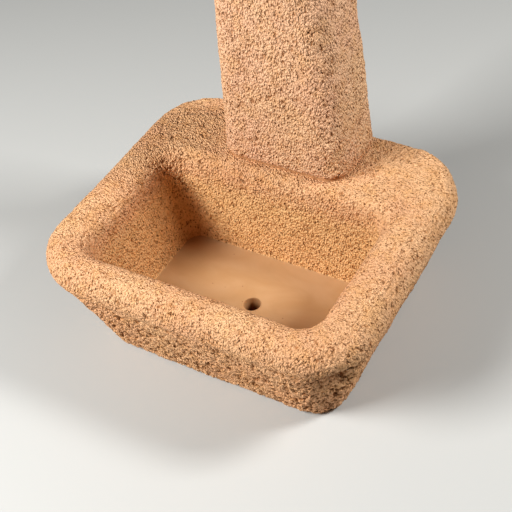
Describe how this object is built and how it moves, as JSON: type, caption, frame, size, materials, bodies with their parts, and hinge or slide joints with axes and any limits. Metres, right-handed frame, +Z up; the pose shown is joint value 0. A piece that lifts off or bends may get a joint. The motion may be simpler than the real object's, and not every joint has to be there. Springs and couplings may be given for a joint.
{
  "type": "drinking fountain",
  "caption": "Cast-stone drinking fountain: a deep rectangular bowl with a bullnose rim, a tapering column on its rear shelf and a self-closing push-button tap.",
  "frame": {"origin": "on the ground under the centre of the basin's outline", "axes": "+Z up, +X to the right seen from the front, -Y towards the person who drinks, +Y towards the column's back"},
  "size_m": [0.596, 0.5, 0.9],
  "materials": {
    "basin_stone": "matte",
    "column_stone": "matte",
    "mortar": "matte",
    "stainless": "satin",
    "black_rubber": "matte",
    "brass": "satin",
    "copper": "satin"
  },
  "bodies": {
    "fountain": {"basin": "basin_stone", "column": "column_stone", "mortar_joint": "mortar", "dowel_pins": "stainless", "service_cover": "stainless", "cover_gasket": "black_rubber", "cover_screws": "stainless", "cover_anchors": "brass", "riser_pipe": "copper", "tap_elbow": "brass", "tap_elbow_nut": "brass", "tap_elbow_olive": "brass", "inlet_elbow": "brass", "inlet_elbow_nut": "brass", "inlet_elbow_olive": "brass", "tap_body": "brass", "wall_flange": "brass", "flange_gasket": "black_rubber", "back_washer": "stainless", "backnut": "brass", "bottom_plug": "brass", "plug_seal": "black_rubber", "bonnet": "brass", "bonnet_seal": "black_rubber", "stem_seals": "black_rubber", "return_spring": "stainless", "spout_nozzle": "brass"},
    "button": {"push_button": "brass", "button_screw": "stainless", "valve_stem": "stainless", "valve_holder": "brass", "valve_washer": "black_rubber", "stem_nut": "stainless"}
  },
  "joints": [
    {"name": "button_press", "type": "slide", "parent": "fountain", "child": "button", "axis": [0, 0, -1], "range_m": [0, 0.006], "stiffness_N_per_m": 900, "springref_m": -0.008, "deforming": ["return_spring"]}
  ]
}
